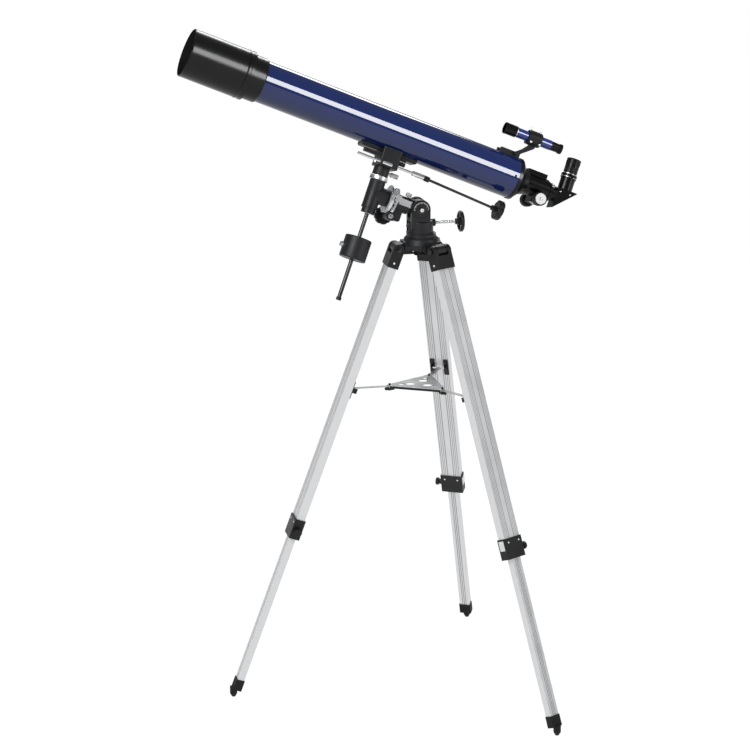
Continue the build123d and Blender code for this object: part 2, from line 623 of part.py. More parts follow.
def focus_shaft():
    """Pinion, its axle and the two grips."""
    axle = cyl_y(-52, 52, 3.0)
    pinion = Rot(90, 0, 0) * gear_disc(PINION_R + 0.3, PINION_TEETH, 10, 2.0)
    grips = []
    for side in (-1, 1):
        grip = Pos(0, side * 41, 0) * Rot(90, 0, 0) * Cylinder(17, 19)
        grip = chamfer(grip.edges(), 1.2)
        flute = cyl_y(side * 41 - 11, side * 41 + 11, 1.5, 17.6)
        flutes = [Rot(0, 15 * k, 0) * flute for k in range(24)]
        grip = grip - flutes - cyl_y(side * 49, side * 51, 13.5)
        grips.append(grip)
        grips.append(cyl_y(side * 22.4, side * 32, 7.5))
    pinion = Rot(0, 180 / PINION_TEETH, 0) * pinion
    return HEAD * Pos(FOCUS_X, 0, TUBE_Z - PINION_DROP) * joined(axle, pinion, *grips)


def focus_caps():
    """Bright discs let into the grips."""
    caps = []
    for side in (-1, 1):
        disc = cyl_y(side * 49, side * 50.8, 13.5) - cyl_y(side * 48, side * 50, 3.0)
        caps.append(HEAD * Pos(FOCUS_X, 0, TUBE_Z - PINION_DROP) * (disc - cyl_y(side * 48, side * 52, 3.0)))
    return caps


def diagonal():
    """Mirror diagonal: barrel along the tube, eyepiece holder square to it."""
    half = 19.0
    corners = [(431, 0, 119), (431, 0, 172), (484, 0, 172)]
    box = extrude(make_face(Polyline(*corners, close=True)), half, both=True)
    box = chamfer(box.edges().filter_by(Axis.Y), 1.0)
    body = box + cyl_x(422, 431, 19, 0, TUBE_Z) + cyl_x(396, 424, BARREL_R, 0, TUBE_Z)
    body += cyl_z(172, 205, 18.2, EYE_X) + cyl_z(201, 212, 19.8, EYE_X)
    cavity = [(433, 0, 129), (433, 0, 170), (474, 0, 170)]
    body -= extrude(make_face(Polyline(*cavity, close=True)), half - 2.5, both=True)
    body -= cyl_x(390, 436, 13.5, 0, TUBE_Z)
    body -= cyl_z(165, 175, 13.5, EYE_X)
    body -= cyl_z(175, 220, BARREL_R + RUN, EYE_X)
    screw = Pos(EYE_X, -20.2, 206.5) * Rot(90, 0, 0) * thumbscrew(2.0, 3.8, 4.2, 6)
    return HEAD * (body + screw)


def diagonal_mirror():
    """First-surface mirror on the cavity's sloping wall."""
    return HEAD * Pos(EYE_X - 2.7, 0, TUBE_Z - 3.3) * Rot(0, -45, 0) * Box(48, 30, 3)


def eyepiece():
    body = cyl_z(212.2, 250, 17.2, EYE_X)
    body = chamfer(body.edges().group_by(Axis.Z)[-1], 2)
    body += cyl_z(183, 213, BARREL_R, EYE_X)
    body -= cyl_z(180, 240, 13.8, EYE_X)
    body -= cyl_z(239, 260, 9.0, EYE_X)
    body -= [Pos(EYE_X, 0, 0) * Rot(0, 0, 10 * k) * cyl_z(216, 232, 0.6, 17.2) for k in range(36)]
    return HEAD * body


def eyepiece_lens():
    field = cyl_z(214, 219, 13.8, EYE_X)
    eye = cyl_z(240, 244, 9.0, EYE_X)
    return [HEAD * field, HEAD * eye]


# ---------------------------------------------------------------- finder
def finder_tube():
    outline = [
        (FINDER_FRONT + 20, 11.0), (FINDER_REAR - 30, 10.0), (FINDER_REAR - 30, 12.2),
        (FINDER_FRONT + 32, 12.2), (FINDER_FRONT + 20, 12.6),
    ]
    return HEAD * turned_x(outline, FINDER_Z)


def finder_cells():
    front = turned_x([
        (FINDER_FRONT, 12.4), (FINDER_FRONT + 20, 12.4), (FINDER_FRONT + 20, 12.6),
        (FINDER_FRONT + 32, 12.2), (FINDER_FRONT + 32, 13.6), (FINDER_FRONT + 28, 14.0), (FINDER_FRONT, 14.0),
    ], FINDER_Z)
    eye = turned_x([
        (FINDER_REAR - 36, 6.0), (FINDER_REAR - 36, 10.0), (FINDER_REAR - 30, 10.0),
        (FINDER_REAR - 30, 11.6), (FINDER_REAR - 9, 10.8), (FINDER_REAR - 8, 12.0),
        (FINDER_REAR, 12.0), (FINDER_REAR, 6.0),
    ], FINDER_Z)
    return [HEAD * front, HEAD * eye]


def finder_lens():
    front = cyl_x(FINDER_FRONT + 10, FINDER_FRONT + 14, 12.4, 0, FINDER_Z)
    eye = cyl_x(FINDER_REAR - 12, FINDER_REAR - 8, 6.0, 0, FINDER_Z)
    return [HEAD * front, HEAD * eye]


def finder_bracket():
    outline = [(321, 15.2), (356, 15.2), (356, 17.2), (352, 18.6), (325, 18.6), (321, 17.2)]
    ring = turned_x(outline, FINDER_Z)
    corners = [
        (334, 0, 246.4), (348, 0, 246.4), (346, 0, 238), (308, 0, 208),
        (280, 0, 208), (280, 0, 213), (300, 0, 214), (318, 0, 228),
    ]
    arm = extrude(make_face(Polyline(*corners, close=True)), 5, both=True)
    foot_bar = block(266, 308, -8, 8, 206.5, 211.5)
    foot_bar = chamfer(foot_bar.edges().filter_by(Axis.X).group_by(Axis.Z)[0], 1.5)
    body = joined(ring, arm, foot_bar)
    for a in (0, 120, 240):
        for x in (327, 350):
            body -= Pos(x, 0, FINDER_Z) * Rot(a, 0, 0) * cyl_z(10, 25, 1.6)
    return HEAD * body


def finder_screws():
    """Six aiming screws in the ring."""
    screws = []
    for a in (0, 120, 240):
        for x in (327, 350):
            screw = Pos(0, 0, 20.4) * thumbscrew(1.6, 8.1, 3.2, 6)
            screws.append(HEAD * Pos(x, 0, FINDER_Z) * Rot(a, 0, 0) * screw)
    return screws


def finder_shoe():
    """Dovetail shoe on the tube, and the screw that locks the finder's foot in it."""
    base = block(262, 312, -17, 17, 196, 206.3)
    rails = block(262, 312, -17, 17, 206.2, 214)
    rails -= block(250, 320, -8.3, 8.3, 200, 220)
    shoe = base + rails
    shoe -= cyl_x(250, 320, TUBE_R, 0, TUBE_Z)
    shoe -= cyl_y(-20, -5, 2.0, 300, 210)
    screw = Pos(300, -18, 210) * Rot(90, 0, 0) * thumbscrew(2.0, 9.4, 5.2, 8)
    return [HEAD * shoe, HEAD * screw]


# ---------------------------------------------------------------- every node, and the files
def nodes():
    parts = {
        "hub": hub(),
        "hinge_bolts": hinge_bolts(),
        "leg_fittings": [leg_place(a) * piece for a in LEG_ANGLES for piece in (leg_cap(), leg_clamp())],
        "leg_rails": [leg_place(a) * rail for a in LEG_ANGLES for rail in leg_rails()],
        "brace_fittings": brace_fittings(),
        "brace_arms": brace_arms(),
        "tray": tray(),
        "mount_knob": mount_knob(),
    }
    for number, angle in enumerate(LEG_ANGLES, 1):
        place = leg_place(angle)
        parts[f"inner_leg_{number}"] = place * inner_leg()
        parts[f"foot_{number}"] = place * foot()
        parts[f"leg_lock_{number}"] = place * leg_lock()
    makers = (
        mount_base, latitude_bolt, latitude_pad, latitude_screw,
        polar_housing, ra_pointer, ra_lock, ra_worm, ra_knob, axis_wheels, setting_circles,
        dec_housing, dec_shaft, counterweight, counterweight_screw,
        saddle, dec_lock, dec_worm, control_shaft, control_knob,
        main_tube, tube_plate, dew_shield, objective_cell, objective_lens, baffles, rear_cell,
        focuser_body, focus_lock, drawtube, draw_screws, focus_shaft, focus_caps,
        diagonal, diagonal_mirror, eyepiece, eyepiece_lens,
        finder_tube, finder_cells, finder_lens, finder_bracket, finder_screws, finder_shoe,
    )
    for make in makers:
        parts[make.__name__] = make()
    return parts


os.makedirs("parts", exist_ok=True)
for name, shape in nodes().items():
    solids = shape if isinstance(shape, list) else [shape]
    export_step(Compound(children=[s for piece in solids for s in piece.solids()]), f"parts/{name}.step")
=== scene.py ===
from math import atan, cos, hypot, pi, radians, sin

import bpy
from mathutils import Matrix, Vector


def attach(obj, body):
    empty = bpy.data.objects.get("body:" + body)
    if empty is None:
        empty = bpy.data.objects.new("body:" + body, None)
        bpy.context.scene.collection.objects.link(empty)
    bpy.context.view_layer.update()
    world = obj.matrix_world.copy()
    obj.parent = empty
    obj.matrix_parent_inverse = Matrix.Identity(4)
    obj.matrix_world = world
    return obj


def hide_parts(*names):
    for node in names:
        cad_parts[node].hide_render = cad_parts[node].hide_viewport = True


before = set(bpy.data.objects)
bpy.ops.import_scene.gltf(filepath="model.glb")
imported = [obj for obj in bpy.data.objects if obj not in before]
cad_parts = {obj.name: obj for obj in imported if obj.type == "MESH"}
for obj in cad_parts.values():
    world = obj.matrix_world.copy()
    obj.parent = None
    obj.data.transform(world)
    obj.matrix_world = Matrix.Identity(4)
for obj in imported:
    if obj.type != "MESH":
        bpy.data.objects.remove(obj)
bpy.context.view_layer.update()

# ---------------------------------------------------------------- places, in millimetres, as in part.py
MM = 0.001
AXIS_X = 80.6                   # the tripod's axis
LATITUDE = radians(22.4)
HOUR_ANGLE = radians(12.3)
TUBE_Z = 154                    # the tube's axis above the polar axis
LEG_ANGLES = (180, -60, 60)
PIVOT_R, PIVOT_H, FOOT_R = 60.5, 1110.7, 472.2
LEG_TILT = atan((FOOT_R - PIVOT_R) / PIVOT_H)
LEG_LENGTH = hypot(FOOT_R - PIVOT_R, PIVOT_H)
RAIL_END = 738.0                # from the leg's hinge down to the rails' lower end
GROOVE_Z, GROOVE_RUN = -380, 712            # middle and length of the rails' grooves
RAIL_FACE, CLAMP_FACE, INNER_FACE = 10.17, 13.5, 8.02       # half thicknesses of rail, clamp and inner leg
SIDES = (-1, 1)
WHOLE = Matrix.Identity(4)


def move(x, y, z):
    return Matrix.Translation((x * MM, y * MM, z * MM))


def turn(angle, axis):
    return Matrix.Rotation(angle, 4, axis)


TRIPOD = move(AXIS_X, 0, 0)
POLAR = move(AXIS_X - 116.5, 0, 1245) @ turn(LATITUDE, "Y")
HEAD = POLAR @ turn(-HOUR_ANGLE, "X")
TUBE = HEAD @ move(0, 0, TUBE_Z)
CONTROL = HEAD @ move(82.5, -30, 74) @ turn(radians(2.6), "Y")
SCREW = move(AXIS_X + 98, 0, 1169.5)
HINGE = move(73.949, 0, 1206.321)
Z_TO_X = turn(pi / 2, "Y")
Z_TO_Y, Z_TO_MINUS_Y = turn(-pi / 2, "X"), turn(pi / 2, "X")


def leg_frame(angle):
    """The leg's own frame: hinge at the origin, foot down its Z, outward along its X."""
    return TRIPOD @ turn(radians(angle), "Z") @ move(PIVOT_R, 0, PIVOT_H) @ turn(-LEG_TILT, "Y")


# ---------------------------------------------------------------- materials
def finish_mat(name, base, second, metallic=0.0, rough=(0.3, 0.4), grain=900.0, stretch=(1, 1, 1),
               bump=0.05, depth=0.0001, coat=0.0, edge=0.0005, cloud=18.0, specular=0.5):
    """Painted, plated or moulded finish: two close colours, uneven roughness, fine grain, soft edges."""
    mat = bpy.data.materials.new(name)
    mat.use_nodes = True
    nodes, links = mat.node_tree.nodes, mat.node_tree.links
    shader = nodes["Principled BSDF"]
    place = nodes.new("ShaderNodeTexCoord")
    mapping = nodes.new("ShaderNodeMapping")
    mapping.inputs["Scale"].default_value = stretch
    links.new(place.outputs["Object"], mapping.inputs["Vector"])
    fine = nodes.new("ShaderNodeTexNoise")
    fine.inputs["Scale"].default_value = grain
    fine.inputs["Detail"].default_value = 3.0
    links.new(mapping.outputs["Vector"], fine.inputs["Vector"])
    broad = nodes.new("ShaderNodeTexNoise")
    broad.inputs["Scale"].default_value = cloud
    broad.inputs["Detail"].default_value = 4.0
    links.new(place.outputs["Object"], broad.inputs["Vector"])
    tint = nodes.new("ShaderNodeMix")
    tint.data_type = "RGBA"
    tint.inputs["A"].default_value = (*base, 1)
    tint.inputs["B"].default_value = (*second, 1)
    links.new(broad.outputs["Fac"], tint.inputs["Factor"])
    links.new(tint.outputs["Result"], shader.inputs["Base Color"])
    spread = nodes.new("ShaderNodeMapRange")
    spread.inputs["From Min"].default_value = 0.3
    spread.inputs["From Max"].default_value = 0.7
    spread.inputs["To Min"].default_value = rough[0]
    spread.inputs["To Max"].default_value = rough[1]
    links.new(broad.outputs["Fac"], spread.inputs["Value"])
    links.new(spread.outputs["Result"], shader.inputs["Roughness"])
    soft = nodes.new("ShaderNodeBevel")
    soft.samples = 4
    soft.inputs["Radius"].default_value = edge
    relief = nodes.new("ShaderNodeBump")
    relief.inputs["Strength"].default_value = bump
    relief.inputs["Distance"].default_value = depth
    links.new(fine.outputs["Fac"], relief.inputs["Height"])
    links.new(soft.outputs["Normal"], relief.inputs["Normal"])
    links.new(relief.outputs["Normal"], shader.inputs["Normal"])
    shader.inputs["Metallic"].default_value = metallic
    shader.inputs["Specular IOR Level"].default_value = specular
    if coat:
        shader.inputs["Coat Weight"].default_value = coat
        shader.inputs["Coat Roughness"].default_value = 0.02
        shader.inputs["Coat IOR"].default_value = 1.5
    return mat


def glass_mat(name, tint, coating):
    """Coated glass: clear, with a faint coloured bloom that varies across it."""
    mat = finish_mat(name, tint, coating, rough=(0.0, 0.02), bump=0.0, edge=0.0003, cloud=30.0)
    shader = mat.node_tree.nodes["Principled BSDF"]
    shader.inputs["Transmission Weight"].default_value = 0.92
    shader.inputs["IOR"].default_value = 1.52
    return mat


NAVY = finish_mat("navy lacquer", (0.0018, 0.0048, 0.0265), (0.0023, 0.0058, 0.0315), rough=(0.30, 0.36),
                  grain=1400, bump=0.01, depth=0.00002, coat=1.0, specular=0.0)
BLUE = finish_mat("finder blue", (0.0035, 0.0085, 0.0500), (0.0044, 0.0100, 0.0600), rough=(0.3, 0.36),
                  bump=0.01, coat=1.0, specular=0.0)
SATIN = finish_mat("black satin", (0.0012, 0.0012, 0.0013), (0.0018, 0.0018, 0.0019), rough=(0.21, 0.25),
                   grain=1500, bump=0.02, depth=0.00002, specular=0.22)
CAST = finish_mat("charcoal casting", (0.006, 0.0064, 0.0075), (0.011, 0.0115, 0.013), rough=(0.38, 0.5),
                  grain=1100, bump=0.35, depth=0.00018, edge=0.0011, specular=0.3)
IRON = finish_mat("weight coat", (0.007, 0.0074, 0.0085), (0.013, 0.0135, 0.015), rough=(0.4, 0.52), grain=800,
                  bump=0.5, depth=0.00025, edge=0.001, specular=0.3)
DARK = finish_mat("dark steel", (0.040, 0.040, 0.043), (0.065, 0.065, 0.068), metallic=1.0, rough=(0.2, 0.3),
                  grain=2200, bump=0.04, depth=0.00003)
# painted shade: a dark grey laid as thin strips in the legs' grooves and along the rails' gap edges, where shade
# would fall
SHADE = finish_mat("groove shade", (0.16, 0.165, 0.17), (0.22, 0.225, 0.23), metallic=0.4, rough=(0.5, 0.6),
                   stretch=(1, 1, 0.02), bump=0.05)
CHROME = finish_mat("bright steel", (0.62, 0.62, 0.63), (0.72, 0.72, 0.72), metallic=1.0, rough=(0.10, 0.2),
                    grain=2500, bump=0.03, depth=0.00003)
TURNED = finish_mat("turned aluminium", (0.60, 0.61, 0.62), (0.70, 0.70, 0.71), metallic=1.0,
                    rough=(0.28, 0.36), grain=2600, bump=0.08, depth=0.00003)
SHEET = finish_mat("sheet aluminium", (0.36, 0.365, 0.37), (0.44, 0.44, 0.45), metallic=0.9,
                   rough=(0.26, 0.36), grain=2200, bump=0.06, depth=0.00003)
FACE = finish_mat("bright face", (0.72, 0.72, 0.73), (0.80, 0.80, 0.80), metallic=0.25, rough=(0.28, 0.36),
                  grain=2200, bump=0.05, depth=0.00003)
LEG = finish_mat("anodised legs", (0.60, 0.61, 0.62), (0.68, 0.68, 0.69), metallic=0.5, rough=(0.30, 0.38),
                 grain=1600, stretch=(1, 1, 0.02), bump=0.10, depth=0.00004, edge=0.0004)
PLASTIC = finish_mat("black plastic", (0.0045, 0.0045, 0.0048), (0.007, 0.007, 0.0073), rough=(0.34, 0.46),
                     grain=1300, bump=0.18, depth=0.00008, edge=0.0008, specular=0.3)
RUBBER = finish_mat("grip rubber", (0.004, 0.004, 0.0043), (0.007, 0.007, 0.007), rough=(0.55, 0.7), grain=1800,
                    bump=0.25, depth=0.0001, edge=0.0007, specular=0.25)
PAINT = finish_mat("scale paint", (0.72, 0.72, 0.70), (0.80, 0.80, 0.78), rough=(0.45, 0.6), bump=0.1)
INK = finish_mat("scale ink", (0.010, 0.010, 0.011), (0.02, 0.02, 0.02), rough=(0.4, 0.5), bump=0.1)
GLASS = glass_mat("coated glass", (0.86, 0.93, 0.92), (0.78, 0.82, 0.95))
MIRROR = finish_mat("mirror coat", (0.86, 0.87, 0.88), (0.90, 0.90, 0.90), metallic=1.0, rough=(0.01, 0.03),
                    bump=0.0)
FLOCK = finish_mat("flat black", (0.003, 0.003, 0.003), (0.005, 0.005, 0.005), rough=(0.75, 0.9), grain=2000,
                   bump=0.3, specular=0.2)

# every CAD node that shows, by the finish it gets

LOOKS = (
    (NAVY, "main_tube"),
    (BLUE, "finder_tube"),
    (SATIN, "dew_shield objective_cell rear_cell focuser_body finder_cells diagonal eyepiece drawtube"),
    (FLOCK, "baffles"),
    (CAST, "hub mount_base polar_housing dec_housing saddle tube_plate finder_shoe finder_bracket"),
    (IRON, "counterweight"),
    (DARK, "hinge_bolts latitude_bolt dec_shaft control_shaft"),
    (CHROME, "latitude_pad ra_worm axis_wheels dec_worm ra_lock dec_lock"),
    (CHROME, "counterweight_screw draw_screws finder_screws focus_lock"),
    (TURNED, "setting_circles ra_pointer"),
    (SHEET, "tray brace_arms"),
    (FACE, "focus_caps"),
    (LEG, "leg_rails inner_leg_1 inner_leg_2 inner_leg_3"),
    (PLASTIC, "leg_fittings brace_fittings mount_knob ra_knob control_knob leg_lock_1 leg_lock_2 leg_lock_3"),
    (RUBBER, "foot_1 foot_2 foot_3 focus_shaft"),
    (GLASS, "objective_lens eyepiece_lens finder_lens"),
    (MIRROR, "diagonal_mirror"),
)
for material, names in LOOKS:
    for name in names.split():
        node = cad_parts[name]
        node.data.materials.clear()
        node.data.materials.append(material)


# ---------------------------------------------------------------- shape helpers
def piece(name, mesh, place, material, body, rounding=0.0, smooth=40.0):
    """A finished mesh, its points in millimetres in the frame `place`, riding on a body."""
    mesh.transform(place @ Matrix.Scale(MM, 4))
    obj = bpy.data.objects.new(name, mesh)
    bpy.context.collection.objects.link(obj)
    mesh.materials.append(material)
    if rounding:
        bevel = obj.modifiers.new("edges", "BEVEL")
        bevel.width = rounding * MM
        bevel.segments = 2
        bevel.limit_method = "ANGLE"
        bevel.angle_limit = radians(35)
    mesh.shade_smooth()
    mesh.set_sharp_from_angle(angle=radians(smooth))
    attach(obj, body)
    return obj


def from_lists(name, points, faces):
    mesh = bpy.data.meshes.new(name)
    mesh.from_pydata([tuple(p) for p in points], [], faces)
    return mesh


def lathe(outline, steps=72, places=(WHOLE,)):
    """Closed (along, radius) outline turned about Z, once for each place."""
    points, faces = [], []
    count = len(outline)
    for place in places:
        first = len(points)
        for k in range(steps):
            a = 2 * pi * k / steps
            points += [place @ Vector((r * cos(a), r * sin(a), z)) for z, r in outline]
        for k in range(steps):
            here, there = first + k * count, first + (k + 1) % steps * count
            for i in range(count):
                j = (i + 1) % count
                faces.append((here + i, there + i, there + j, here + j))
    return from_lists("turned", points, faces)


def dome(radius, height, places, steps=20):
    """Rivet or button heads: a flat-based dome at each place, standing along Z."""
    arc = [(height * sin(pi / 2 * k / 5), max(radius * cos(pi / 2 * k / 5), 0.02)) for k in range(6)]
    outline = [(-0.4, 0.02), (-0.4, radius)] + arc
    return lathe(outline, steps, places)


def bars(items):
    """Boxes given as (place, (width, depth, height)), merged in one mesh."""
    points, faces = [], []
    for place, (w, d, h) in items:
        first = len(points)
        for x in (-w / 2, w / 2):
            for y in (-d / 2, d / 2):
                for z in (-h / 2, h / 2):
                    points.append(place @ Vector((x, y, z)))
        quads = ((0, 1, 3, 2), (4, 6, 7, 5), (0, 4, 5, 1), (2, 3, 7, 6), (0, 2, 6, 4), (1, 5, 7, 3))
        faces += [tuple(first + i for i in quad) for quad in quads]
    return from_lists("bars", points, faces)


def thread(root, crest, pitch, low, high, steps=28):
    """Screw thread along Z, between two radii and two heights."""
    rings = int((high - low) / pitch * steps)
    outline = ((0.0, root), (0.30, crest), (0.50, crest), (0.80, root))
    points, faces = [], []
    for k in range(rings + 1):
        a = 2 * pi * k / steps
        z = low + pitch * k / steps
        for step, r in outline:
            points.append((r * cos(a), r * sin(a), z + step * pitch))
    count = len(outline)
    for k in range(rings):
        for i in range(count - 1):
            a, b = k * count + i, (k + 1) * count + i
            faces.append((a, b, b + 1, a + 1))
    for k in range(rings - steps + 1):
        a, b = k * count + count - 1, (k + steps) * count
        if k < rings - steps:
            faces.append((a, a + count, b + count, b))
    return from_lists("thread", points, faces)


def spun(x, y, z):
    """A place inside a mesh, which is still in millimetres."""
    return Matrix.Translation((x, y, z))


def ring_of(count, axis, place):
    """The same place repeated round an axis."""
    return [turn(2 * pi * k / count, axis) @ place for k in range(count)]


# ---------------------------------------------------------------- graduated scales
def drum_ticks(radius, low, count, long_every, short, long, thick=0.24, width=0.42):
    """Graduations round a drum that stands along Z, with a longer one every few."""
    items = []
    for k in range(count):
        length = long if k % long_every == 0 else short
        place = turn(2 * pi * k / count, "Z") @ spun(radius, 0, low + length / 2)
        items.append((place, (thick, width, length)))
    return bars(items)


# outlines are (along, radius) from here on
piece("polar_scale", drum_ticks(34, 35.2, 144, 6, 2.6, 4.6), HEAD @ Z_TO_X, INK, "dec_head")
piece("polar_scale_line", lathe([(34.8, 33.9), (34.8, 34.12), (35.2, 34.12), (35.2, 33.9)]), HEAD @ Z_TO_X,
      INK, "dec_head")
piece("declination_scale", drum_ticks(22, 33.9, 90, 5, 2.4, 4.4), HEAD, INK, "dec_head")
piece("declination_scale_line", lathe([(33.6, 21.9), (33.6, 22.12), (34.0, 22.12), (34.0, 21.9)]), HEAD, INK,
      "dec_head")

arc = []
for k in range(37):             # 5 degrees apart over the hinge's upper half, with a long one every 30
    length = 4.2 if k % 6 == 0 else 2.4
    arc.append((turn(radians(-90 + 5 * k), "Y") @ spun(0, -29.55, 18.6 - length / 2), (0.5, 0.24, length)))
piece("latitude_scale", bars(arc), HINGE, PAINT, "azimuth_base")
piece("latitude_dial_edge", lathe([(29.2, 19.2), (29.2, 20.3), (29.8, 20.3), (29.8, 19.2)]),
      HINGE @ Z_TO_MINUS_Y, PLASTIC, "azimuth_base")
bolt_face = [(35.6, 0.5), (35.6, 4.8), (36.1, 4.4), (36.1, 0.5)]
piece("bolt_faces", lathe(bolt_face, 40, (Z_TO_MINUS_Y, Z_TO_Y)), HINGE, CHROME, "azimuth_base")

# ---------------------------------------------------------------- latitude handwheel with its threaded rod
rim_outline = [(4.5 * sin(2 * pi * k / 16), 22 + 3.5 * cos(2 * pi * k / 16)) for k in range(16)]
rim = piece("handwheel_rim", lathe(rim_outline, 96), SCREW @ Z_TO_X, PLASTIC, "latitude_handwheel")
spokes = [(place, (5, 6.4, 12)) for place in ring_of(3, "X", spun(0, 0, 14))]
piece("handwheel_spokes", bars(spokes), SCREW, PLASTIC, "latitude_handwheel", 1.2)
centre = [(-13.8, 4.2), (-13.8, 6.9), (-13.0, 7.5), (-7.0, 7.5), (-6.5, 9.0), (5.0, 9.0), (6.0, 8.0),
          (6.0, 0.3), (5.0, 0.3), (-6.0, 4.2)]
piece("handwheel_centre", lathe(centre), SCREW @ Z_TO_X, PLASTIC, "latitude_handwheel")
grips = [(place, (6.0, 1.6, 0.5)) for place in ring_of(18, "X", spun(0, 0, 25.25))]
piece("handwheel_ribs", bars(grips), SCREW, PLASTIC, "latitude_handwheel", 0.2)
piece("latitude_thread", thread(3.35, 3.98, 1.25, -105, -15), SCREW @ Z_TO_X, CHROME, "latitude_handwheel")
core = lathe([(-105.3, 0.1), (-105.3, 2.6), (-104.6, 3.4), (-13, 3.4), (-13, 0.1)], 40)
piece("latitude_rod_core", core, SCREW @ Z_TO_X, CHROME, "latitude_handwheel")
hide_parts("latitude_screw")

# ---------------------------------------------------------------- tripod details
for number, angle in enumerate(LEG_ANGLES, 1):
    place = leg_frame(angle)
    inner = f"inner_leg_{number}"
    heads = [spun(0, -26.2, -34) @ Z_TO_MINUS_Y, spun(0, 26.2, -34) @ Z_TO_Y]
    piece(f"cap_rivets_{number}", dome(3.0, 1.3, heads), place, PAINT, "tripod")
    side_plate = bars([(spun(0, -28.9, -RAIL_END + 20), (17, 1.0, 24))])
    piece(f"clamp_plate_{number}", side_plate, place, TURNED, "tripod", 0.3)
    pins = [spun(0, -29.4, -RAIL_END + z) @ Z_TO_MINUS_Y for z in (12, 28)]
    pins += [spun(side * CLAMP_FACE, y, -RAIL_END + 26) @ turn(side * pi / 2, "Y")
             for side in SIDES for y in (-17, 17)]
    piece(f"clamp_rivets_{number}", dome(2.2, 1.0, pins), place, PAINT, "tripod")
    seams = [(spun(side * (CLAMP_FACE + 0.05), 0, -RAIL_END + z), (0.5, 50, 0.8)) for side in SIDES for z in (2, 34)]
    piece(f"clamp_seams_{number}", bars(seams), place, PLASTIC, "tripod", 0.15)
    # painted shade: dark strips along the rails' groove bottoms, and along both edges of the gap between the rails
    lines = [(spun(side * RAIL_FACE, y * flip, GROOVE_Z), (0.2, 1.0, GROOVE_RUN))
             for side in SIDES for y in (13.0, 17.5, 22.0) for flip in SIDES]
    lines += [(spun(side * (RAIL_FACE + 0.08), y, GROOVE_Z), (0.2, 1.5, GROOVE_RUN))
              for side in SIDES for y in (-8.2, 8.2)]
    piece(f"rail_groove_shade_{number}", bars(lines), place, SHADE, "tripod")
    web = bars([(spun(side * 9.7, 0, GROOVE_Z), (1.0, 18.4, GROOVE_RUN + 2)) for side in SIDES])
    piece(f"rail_web_{number}", web, place, LEG, "tripod")
    low, high = -LEG_LENGTH + 50, -406
    # painted shade: dark strips along the inner leg's groove bottoms
    lines = [(spun(side * INNER_FACE, y, (low + high) / 2), (0.16, 1.4, high - low))
             for side in SIDES for y in (-4.5, 0, 4.5)]
    piece(f"inner_groove_shade_{number}", bars(lines), place, SHADE, inner)
    plug = bars([(spun(0, 0, -402.0), (16.4, 26.4, 5))])
    piece(f"leg_plug_{number}", plug, place, PLASTIC, inner, 0.8)
    ridges = [(spun(side * 10.6, 0, -LEG_LENGTH + z), (0.9, 26, 1.6)) for side in SIDES for z in (26, 31, 36, 41)]
    piece(f"foot_ridges_{number}", bars(ridges), place, RUBBER, inner, 0.3)

TRAY_R, TRAY_Z = 91, 769.0      # the tray's corners, and the middle of its turned-down edge
corners = [Vector((TRAY_R * cos(radians(angle)), TRAY_R * sin(radians(angle)), 0)) for angle in LEG_ANGLES]
# painted shade: a black strip along the tray's turned-down edge on all three sides, standing in for the flange's
# shade
edge_shade = []
for start, end in zip(corners, corners[1:] + corners[:1]):
    middle, run = (start + end) / 2, end - start
    along = turn(run.to_2d().angle_signed(Vector((1, 0))), "Z")
    edge_shade.append((spun(middle.x, middle.y, TRAY_Z) @ along, (run.length - 30, 1.2, 5.6)))
piece("tray_edge_shade", bars(edge_shade), TRIPOD, PLASTIC, "tripod", 0.3)

# ---------------------------------------------------------------- optical tube details
bead = [(-2.0 + 2.0 * cos(2 * pi * k / 12) - 392.5, 58.0 + 1.1 * sin(2 * pi * k / 12)) for k in range(12)]
piece("dew_shield_bead", lathe(bead, 128), TUBE @ Z_TO_X, SATIN, "hood")
lip = [(-533.1, 56.2), (-533.1, 57.0), (-532.2, 57.9), (-531.2, 57.9), (-531.2, 58.12), (-532.4, 58.12),
       (-533.3, 57.2), (-533.3, 56.2)]
piece("dew_shield_lip", lathe(lip, 128), TUBE @ Z_TO_X, SATIN, "hood")
lining = [(-531, 55.2), (-531, 55.45), (-390, 55.45), (-390, 55.2)]
piece("dew_shield_lining", lathe(lining, 128), TUBE @ Z_TO_X, FLOCK, "hood")
retainer = [(-386.3, 43.4), (-386.3, 51.5), (-384.5, 52.0), (-383.2, 46.2), (-384.6, 43.2)]
piece("lens_retaining_ring", lathe(retainer, 128), TUBE @ Z_TO_X, SATIN, "telescope")
rear_heads = [spun(308, 0, 0) @ turn(radians(a), "X") @ spun(0, 0, 50) for a in (90, 210, 330)]
front_heads = [spun(-349.5, 0, 0) @ turn(radians(a), "X") @ spun(0, 0, 52.6) for a in (90, 210, 330)]
piece("tube_screws", dome(3.0, 1.1, rear_heads), TUBE, PLASTIC, "telescope")
piece("cell_screws", dome(1.8, 0.7, front_heads), TUBE, CHROME, "telescope")
rib = [(325, 50.1), (325, 50.9), (326.6, 50.5), (326.6, 49.6)]
piece("rear_cell_rib", lathe(rib, 128), TUBE @ Z_TO_X, SATIN, "telescope")

focus = HEAD @ move(386, 0, 124)
both_sides = (Z_TO_MINUS_Y, Z_TO_Y)
disc = [(50.6, 3.6), (50.6, 4.6), (51.0, 4.6), (51.0, 5.4), (50.7, 5.4), (50.7, 11.2), (51.0, 11.2),
        (51.0, 12.2), (50.6, 12.2), (50.4, 8.0)]
piece("focus_knob_faces", lathe(disc, 64, both_sides), focus, FACE, "focus_drive")
piece("focus_knob_screws", dome(3.0, 0.9, [side @ spun(0, 0, 51.7) for side in both_sides]), focus, CHROME,
      "focus_drive")

